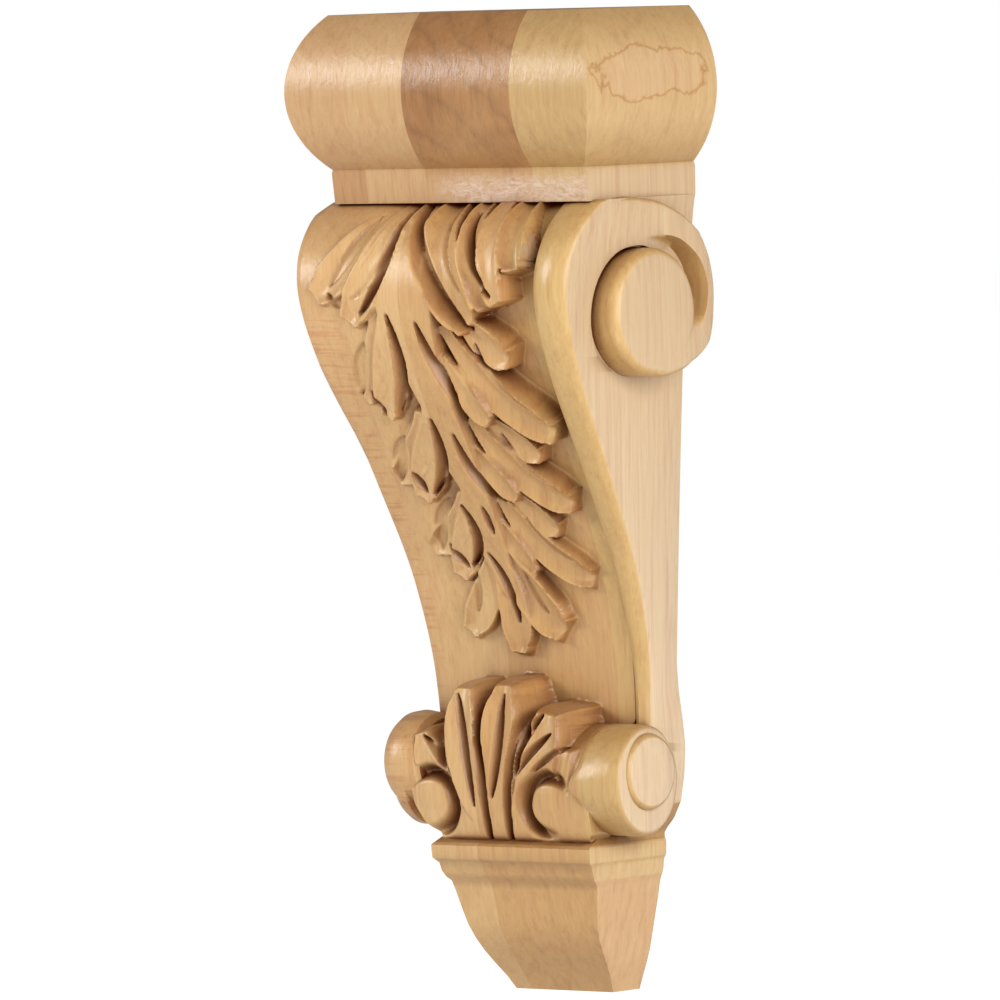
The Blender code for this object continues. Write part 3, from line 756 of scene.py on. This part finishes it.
class Recipe:
    """Short calls for building a material's nodes."""

    def __init__(self, name):
        self.material = bpy.data.materials.new(name)
        self.material.use_nodes = True
        self.tree = self.material.node_tree
        self.shader = self.tree.nodes["Principled BSDF"]
        self.place = self.node("ShaderNodeTexCoord").outputs["Object"]

    def node(self, kind, **settings):
        made = self.tree.nodes.new(kind)
        for key, value in settings.items():
            setattr(made, key, value)
        return made

    def feed(self, socket, value):
        if isinstance(value, bpy.types.NodeSocket):
            self.tree.links.new(value, socket)
        else:
            socket.default_value = value

    def math(self, operation, first, second=0.0, third=0.0, clamp=False):
        made = self.node("ShaderNodeMath", operation=operation, use_clamp=clamp)
        for socket, value in zip(made.inputs, (first, second, third)):
            self.feed(socket, value)
        return made.outputs[0]

    def times(self, *factors):
        product = factors[0]
        for factor in factors[1:]:
            product = self.math("MULTIPLY", product, factor)
        return product

    def scaled(self, value, gain, base):
        """A value times a gain, plus a base, held between 0 and 1."""
        return self.math("MULTIPLY_ADD", value, gain, base, clamp=True)

    def over(self, value, start, end):
        """0 at the start, 1 at the end, and even between them."""
        return self.scaled(value, 1 / (end - start), -start / (end - start))

    def below(self, value, limit):
        return self.math("LESS_THAN", value, limit)

    def above(self, value, limit):
        return self.math("GREATER_THAN", value, limit)

    def other(self, share):
        return self.math("SUBTRACT", 1.0, share)

    def size(self, value):
        return self.math("ABSOLUTE", value)

    def stretched(self, scale, shift=(0, 0, 0)):
        made = self.node("ShaderNodeMapping")
        self.feed(made.inputs["Vector"], self.place)
        made.inputs["Scale"].default_value = scale
        self.feed(made.inputs["Location"], shift)
        return made.outputs[0]

    def noise(self, vector, scale, detail=3.0, rough=0.5, twist=0.0):
        made = self.node("ShaderNodeTexNoise")
        self.feed(made.inputs["Vector"], vector)
        made.inputs["Scale"].default_value = scale
        made.inputs["Detail"].default_value = detail
        made.inputs["Roughness"].default_value = rough
        made.inputs["Distortion"].default_value = twist
        return made.outputs["Fac"]

    def ramp(self, value, stops, smooth=True):
        made = self.node("ShaderNodeValToRGB")
        made.color_ramp.interpolation = "EASE" if smooth else "CONSTANT"
        self.feed(made.inputs[0], value)
        while len(made.color_ramp.elements) < len(stops):
            made.color_ramp.elements.new(0.5)
        for element, (position, colour) in zip(made.color_ramp.elements, stops):
            element.position = position
            element.color = colour
        return made.outputs[0]

    def mix(self, share, first, second, way="MIX"):
        made = self.node("ShaderNodeMix", data_type="RGBA", blend_type=way)
        self.feed(made.inputs[0], share)
        self.feed(made.inputs[6], first)
        self.feed(made.inputs[7], second)
        return made.outputs[2]

    def tinted(self, share, tone, colour):
        """The tone multiplied by a colour, as far as the share says."""
        return self.mix(share, tone, self.mix(1.0, tone, colour, "MULTIPLY"))

    def marked(self, share, tone, value, stops):
        """The tone made darker under middle grey and lighter over it, as a pattern says."""
        pattern = self.ramp(value, [(position, grey(level)) for position, level in stops])
        return self.mix(share, tone, pattern, "OVERLAY")


# Each board's tone, from the left, and the tones of the marks in them
BOARD_TONES = ((214, 171, 119), (216, 175, 122), (208, 163, 108), (210, 172, 113))
HEARTWOOD = linear(160, 104, 52)
NECK_END = linear(188, 132, 80)
END_GRAIN = linear(196, 176, 150)
# Painted shade on the carving's walls
PAINTED_WALL_SHADE = linear(176, 134, 86)
TIDE_LINE = linear(214, 168, 122)
TORN_GRAIN = linear(238, 211, 188)
# Brown of finish pooled in the cuts, also used as painted shade in the hollows
POOLED_FINISH_AND_SHADE = linear(126, 70, 28)
# The planed sides are paler and pinker than the carved front, partly their own tone and partly painted light,
# the more so the lower down
LIT_PLANED_HIGH = (1.03, 1.14, 1.64, 1)
LIT_PLANED_LOW = (1.2, 1.4, 2.2, 1)
# Painted light: the body is made a little lighter than the roll, the less so the lower down
BODY_PAINTED_LIGHT_HIGH = (1.15, 1.16, 1.12, 1)
BODY_PAINTED_LIGHT_LOW = (1.05, 1.06, 1.02, 1)
# Tide line on the roll's ends: the tint inside it, its middle, and its half length and half height
TIDE_INSIDE = (1.03, 1.02, 1.13, 1)
TIDE_DEPTH = -22 * MM
TIDE_HEIGHT = TOP - 14 * MM
TIDE_LONG = 19 * MM
TIDE_HIGH = 5.4 * MM


class Maple(Recipe):
    """Maple glued up from staves, its grain upright, under a clear satin finish."""

    def __init__(self):
        super().__init__("maple")
        split = self.node("ShaderNodeSeparateXYZ")
        self.feed(split.inputs[0], self.place)
        self.across, self.deep, self.up = split.outputs
        facing = self.node("ShaderNodeSeparateXYZ")
        self.feed(facing.inputs[0], self.node("ShaderNodeNewGeometry").outputs["Normal"])
        self.facing_side, self.facing_front, self.facing_up = facing.outputs
        self.outward = self.times(self.across, self.facing_side)
        self.below_neck = self.below(self.up, SHOULDER - 0.5 * MM)
        self.on_drop = self.below(self.up, DROP_TOP)
        self.downward = self.over(self.up, 40 * MM, -40 * MM)
        # Each glue line switches to the next board, with its own tone and its own piece of the tree
        self.boards = [self.above(self.across, line) for line in GLUE_LINES]
        self.count = self.math("ADD", self.math("ADD", self.boards[0], self.boards[1]), self.boards[2])
        shift = self.node("ShaderNodeCombineXYZ")
        for socket, spread in zip(shift.inputs, (0.37, 0.81, 1.9)):
            self.feed(socket, self.times(self.count, spread))
        self.shift = shift.outputs[0]
        self.fibre = self.noise(self.stretched((2200, 2200, 70), self.shift), 1.0, 4.0, 0.6)
        self.streak = self.noise(self.stretched((620, 620, 10), self.shift), 1.0, 4.0, 0.6, 0.2)
        self.lit_planed = self.lit_planed_sides()
        self.torn = self.noise(self.stretched((420, 420, 700)), 1.0, 3.0, 0.7, 0.8)
        self.rough_neck = self.torn_neck()

    def lit_planed_sides(self):
        """Where a flat side is planed and takes painted light: not in the carving, and less on the roll and the
        drop.
        """
        lit_planed = self.scaled(self.size(self.facing_side), 8.0, -6.6)
        least = self.math("MULTIPLY_ADD", self.on_drop, -13 * MM, 24 * MM)
        lower = self.over(self.up, TOP - 32 * MM, TOP - 36 * MM)
        on_roll = self.math("MULTIPLY_ADD", lower, 0.75, 0.25)
        return self.times(lit_planed, self.above(self.outward, least), on_roll,
                          self.math("MULTIPLY_ADD", self.on_drop, -0.7, 1.0))

    def torn_neck(self):
        """The front of the neck over the leaf, where the grain is torn."""
        low_neck = self.over(self.up, SHOULDER + 6.6 * MM, SHOULDER + 3.6 * MM)
        middle = self.over(self.across, GLUE_LINES[1], GLUE_LINES[1] + 9 * MM)
        return self.times(middle, self.below(self.facing_front, -0.8), low_neck, self.other(self.below_neck))

    def staves(self):
        stops = [(0.25 * i, linear(*tone)) for i, tone in enumerate(BOARD_TONES)]
        return self.ramp(self.math("MULTIPLY_ADD", self.count, 0.25, 0.01), stops, smooth=False)

    def heartwood(self, tone):
        """The third board is darker heartwood at its upper end, with a slanting figure."""
        high = self.over(self.up, TOP - 38 * MM, TOP - 26 * MM)
        curl = self.noise(self.stretched((30, 30, 22), self.shift), 1.6, 2.0, 0.5, 1.2)
        heart = self.times(self.boards[1], self.other(self.boards[2]), high, self.scaled(curl, 0.9, 0.25))
        figure = self.node("ShaderNodeTexWave", wave_type="BANDS", bands_direction="DIAGONAL",
                           wave_profile="SAW")
        self.feed(figure.inputs["Vector"], self.stretched((60, 20, 75), self.shift))
        figure.inputs["Scale"].default_value = 0.9
        figure.inputs["Distortion"].default_value = 5.5
        figure.inputs["Detail"].default_value = 3.0
        return self.marked(self.times(heart, 0.6), self.mix(heart, tone, HEARTWOOD), figure.outputs["Fac"],
                           ((0.0, 0.34), (0.25, 0.5), (0.8, 0.55), (1.0, 0.44)))

    def neck_end(self, tone):
        """The neck's left end is browner than the board beside it."""
        left = self.times(self.below(self.across, GLUE_LINES[0]), self.below(self.deep, -20 * MM),
                          self.above(self.up, SHOULDER - 0.1 * MM), self.below(self.up, SHOULDER + 7.3 * MM))
        return self.mix(self.times(left, 0.5), tone, NECK_END)

    def grain(self, tone):
        """Fine upright streaks and fibres, wide wandering growth rings and broad cloudy changes."""
        tone = self.marked(0.5, tone, self.streak, ((0.3, 0.36), (0.52, 0.5), (0.75, 0.6)))
        tone = self.marked(0.35, tone, self.fibre, ((0.3, 0.36), (0.55, 0.52), (0.8, 0.6)))
        rings = self.node("ShaderNodeTexWave", wave_type="RINGS", rings_direction="Z", wave_profile="SAW")
        self.feed(rings.inputs["Vector"], self.stretched((60, 85, 7), self.shift))
        rings.inputs["Scale"].default_value = 0.55
        rings.inputs["Distortion"].default_value = 3.2
        rings.inputs["Detail"].default_value = 3.0
        rings.inputs["Detail Scale"].default_value = 0.9
        tone = self.marked(0.3, tone, rings.outputs["Fac"],
                           ((0.0, 0.40), (0.10, 0.52), (0.8, 0.52), (1.0, 0.44)))
        cloud = self.noise(self.stretched((28, 28, 12)), 1.0, 2.0)
        return self.marked(0.12, tone, cloud, ((0.3, 0.44), (0.7, 0.57)))

    def surfaces(self, tone):
        """Paler planed sides with painted light, darker end grain, painted light on the body and painted shade
        on carved walls.
        """
        # The planed wood's own paler tone, and painted light on the sides
        tone = self.tinted(self.lit_planed, tone, self.mix(self.downward, LIT_PLANED_HIGH, LIT_PLANED_LOW))
        end = self.scaled(self.size(self.facing_up), 1.8, -0.55)
        tone = self.tinted(self.times(end, 0.55), tone, END_GRAIN)
        # Painted light on the carved body below the neck
        body = self.times(self.below_neck, self.below(self.deep, -0.5 * MM), self.other(self.lit_planed))
        tone = self.tinted(body, tone, self.mix(self.downward, BODY_PAINTED_LIGHT_HIGH, BODY_PAINTED_LIGHT_LOW))
        # Painted shade: walls in the carving that face right, and the shell's walls that face up, are darkened
        carved = self.times(self.below_neck, self.above(self.up, DROP_TOP),
                            self.below(self.size(self.across), 27 * MM))
        shaded_shell_top = self.times(self.below(self.up, -37 * MM), self.below(self.across, 20 * MM),
                               self.scaled(self.facing_up, 3.5, -1.4))
        wall = self.math("MAXIMUM", self.scaled(self.facing_side, 3.5, -1.5), shaded_shell_top)
        return self.tinted(self.times(carved, wall, 0.42), tone, PAINTED_WALL_SHADE)

    def tide_line(self, tone):
        """A thin wandering line on the roll's planed ends, a little pinker inside."""
        along = self.math("DIVIDE", self.math("SUBTRACT", self.deep, TIDE_DEPTH), TIDE_LONG)
        above = self.math("DIVIDE", self.math("SUBTRACT", self.up, TIDE_HEIGHT), TIDE_HIGH)
        ring = self.math("SQRT", self.math("ADD", self.times(along, along), self.times(above, above)))
        wander = self.noise(self.stretched((90, 90, 90)), 1.0, 4.0, 0.6, 0.5)
        outside = self.math("SUBTRACT", self.math("MULTIPLY_ADD", wander, 1.5, -0.75), self.other(ring))
        line = self.scaled(self.size(outside), -13.0, 1.0)
        on_end = self.times(self.above(self.up, TOP - 33 * MM), self.above(self.outward, 30 * MM))
        tone = self.tinted(self.times(line, on_end, 0.6), tone, TIDE_LINE)
        return self.tinted(self.times(on_end, self.scaled(outside, -6.0, 0.0)), tone, TIDE_INSIDE)

    def tool_marks(self, tone):
        """Torn pale grain on the neck, and fine chatter marks across the left edge."""
        tone = self.mix(self.times(self.rough_neck, self.scaled(self.torn, 2.2, -0.55)), tone, TORN_GRAIN)
        chatter = self.noise(self.stretched((60, 60, 1100)), 1.0, 2.0, 0.6, 0.3)
        edge = self.over(self.across, -26.5 * MM, -29.5 * MM)
        low = self.over(self.up, 46 * MM, 42 * MM)
        return self.marked(self.times(edge, low, 0.75), tone, chatter, ((0.38, 0.36), (0.5, 0.5)))

    def pooled_finish_and_shade(self, tone):
        """Finish has pooled in the cuts and left them browner, together with painted shade laid into the
        hollows by an occlusion test.
        """
        nook = self.node("ShaderNodeAmbientOcclusion", samples=8)
        nook.inputs["Distance"].default_value = 7 * MM
        stops = ((0.2, 1), (0.45, 0.6), (0.78, 0.1), (0.95, 0))
        hollow = self.ramp(nook.outputs["AO"], [(position, grey(level)) for position, level in stops])
        carved = self.math("MULTIPLY_ADD", self.lit_planed, -0.7, 1.0)
        # Painted shade: the hollows found by occlusion are darkened, less on the planed sides
        return self.tinted(self.times(hollow, carved), tone, POOLED_FINISH_AND_SHADE)

    def relief(self):
        """Fibres and tool marks that the light catches, rougher on the torn neck."""
        tool = self.noise(self.stretched((420, 420, 260)), 1.0, 2.0, 0.5, 0.6)
        height = self.math("ADD", self.times(self.fibre, 0.35), tool)
        height = self.math("ADD", height, self.times(self.rough_neck, self.torn, 3.0))
        bump = self.node("ShaderNodeBump")
        bump.inputs["Strength"].default_value = 0.35
        bump.inputs["Distance"].default_value = 0.35 * MM
        self.feed(bump.inputs["Height"], height)
        return bump.outputs[0]

    def finished(self):
        tone = self.staves()
        for layer in (self.heartwood, self.neck_end, self.grain, self.surfaces, self.tide_line,
                      self.tool_marks, self.pooled_finish_and_shade):
            tone = layer(tone)
        self.feed(self.shader.inputs["Base Color"], tone)
        self.feed(self.shader.inputs["Roughness"], self.math("MULTIPLY_ADD", self.streak, 0.24, 0.21))
        self.shader.inputs["Specular IOR Level"].default_value = 0.5
        self.feed(self.shader.inputs["Normal"], self.relief())
        return self.material


corbel.data.materials.clear()
corbel.data.materials.append(Maple().finished())

# Camera: it looks from the photograph's side, a little down and a little turned, with a long lens
LOOK_ACROSS = math.radians(40.0)
LOOK_DOWN = math.radians(2.7)
ROLL = math.radians(-1.7)
# The lens and the picture's middle in pixels of the picture, and the size of a pixel at the corbel
PICTURE_PIXELS = 1000
FOCAL_PIXELS = 11930
CENTRE_RIGHT = 77.1
CENTRE_DOWN = 3.3
PIXEL = 0.2204 * MM
AIM_HEIGHT = -1.1 * MM
FAR = 20


def camera():
    level = math.cos(LOOK_DOWN)
    forward = Vector((-math.sin(LOOK_ACROSS) * level, math.cos(LOOK_ACROSS) * level, -math.sin(LOOK_DOWN)))
    right = Vector((math.cos(LOOK_ACROSS), math.sin(LOOK_ACROSS), 0))
    up = right.cross(forward)
    right_rolled = right * math.cos(ROLL) + up * math.sin(ROLL)
    up_rolled = up * math.cos(ROLL) - right * math.sin(ROLL)
    place = Vector((0, 0, AIM_HEIGHT)) - forward * FOCAL_PIXELS * PIXEL
    place += up_rolled * CENTRE_DOWN * PIXEL - right_rolled * CENTRE_RIGHT * PIXEL
    data = bpy.data.cameras.new("camera")
    data.lens = FOCAL_PIXELS / PICTURE_PIXELS * data.sensor_width
    data.clip_end = FAR
    seen = bpy.data.objects.new("camera", data)
    turn = Matrix((right_rolled, up_rolled, -forward)).transposed()
    seen.matrix_world = Matrix.Translation(place) @ turn.to_4x4()
    bpy.context.scene.collection.objects.link(seen)
    bpy.context.scene.camera = seen


# Soft lights: place, size, power and colour
WINDOW = ((-1.05, -0.95, 0.45), 0.4, 7.9, (1, 0.985, 0.97))
FILL = ((1.4, -0.55, 0.4), 1.0, 17.5, (0.98, 0.96, 0.98))
LIT_POINT = Vector((0, -0.02, 0))
SKY = 0.33
WHITE = (1, 1, 1, 1)
FLOOR_GAP = 60 * MM
FLOOR_SIZE = 6
FLOOR_TONE = (0.9, 0.9, 0.9, 1)


def soft_light(name, place, size, power, colour):
    data = bpy.data.lights.new(name, "AREA")
    data.shape = "SQUARE"
    data.size = size
    data.energy = power
    data.color = colour
    light = bpy.data.objects.new(name, data)
    light.location = place
    light.rotation_euler = (LIT_POINT - Vector(place)).to_track_quat("-Z", "Y").to_euler()
    bpy.context.scene.collection.objects.link(light)


def backdrop():
    """A plain sky: white where it is looked at, and dimmer where it lights the wood."""
    world = bpy.data.worlds.new("world")
    world.use_nodes = True
    nodes = world.node_tree.nodes
    dim = nodes["Background"]
    dim.inputs["Color"].default_value = WHITE
    dim.inputs["Strength"].default_value = SKY
    bright = nodes.new("ShaderNodeBackground")
    bright.inputs["Color"].default_value = WHITE
    bright.inputs["Strength"].default_value = 1.0
    blend = nodes.new("ShaderNodeMixShader")
    wire = world.node_tree.links
    wire.new(nodes.new("ShaderNodeLightPath").outputs["Is Camera Ray"], blend.inputs[0])
    wire.new(dim.outputs[0], blend.inputs[1])
    wire.new(bright.outputs[0], blend.inputs[2])
    wire.new(blend.outputs[0], nodes["World Output"].inputs[0])
    bpy.context.scene.world = world


def pale_floor():
    """A plain floor that looks as white as the sky."""
    bm = bmesh.new()
    bmesh.ops.create_grid(bm, x_segments=1, y_segments=1, size=FLOOR_SIZE)
    bmesh.ops.translate(bm, verts=bm.verts[:], vec=(0, 0, FOOT - FLOOR_GAP))
    floor = solid_from("floor", bm)
    pale = Recipe("pale")
    pale.shader.inputs["Base Color"].default_value = FLOOR_TONE
    pale.shader.inputs["Roughness"].default_value = 0.9
    pale.shader.inputs["Emission Color"].default_value = WHITE
    seen = pale.node("ShaderNodeLightPath").outputs["Is Camera Ray"]
    pale.feed(pale.shader.inputs["Emission Strength"], pale.math("MULTIPLY_ADD", seen, 0.6, 0.1))
    floor.data.materials.append(pale.material)


bpy.context.scene.view_settings.view_transform = "Standard"
camera()
soft_light("window", *WINDOW)
soft_light("fill", *FILL)
backdrop()
pale_floor()
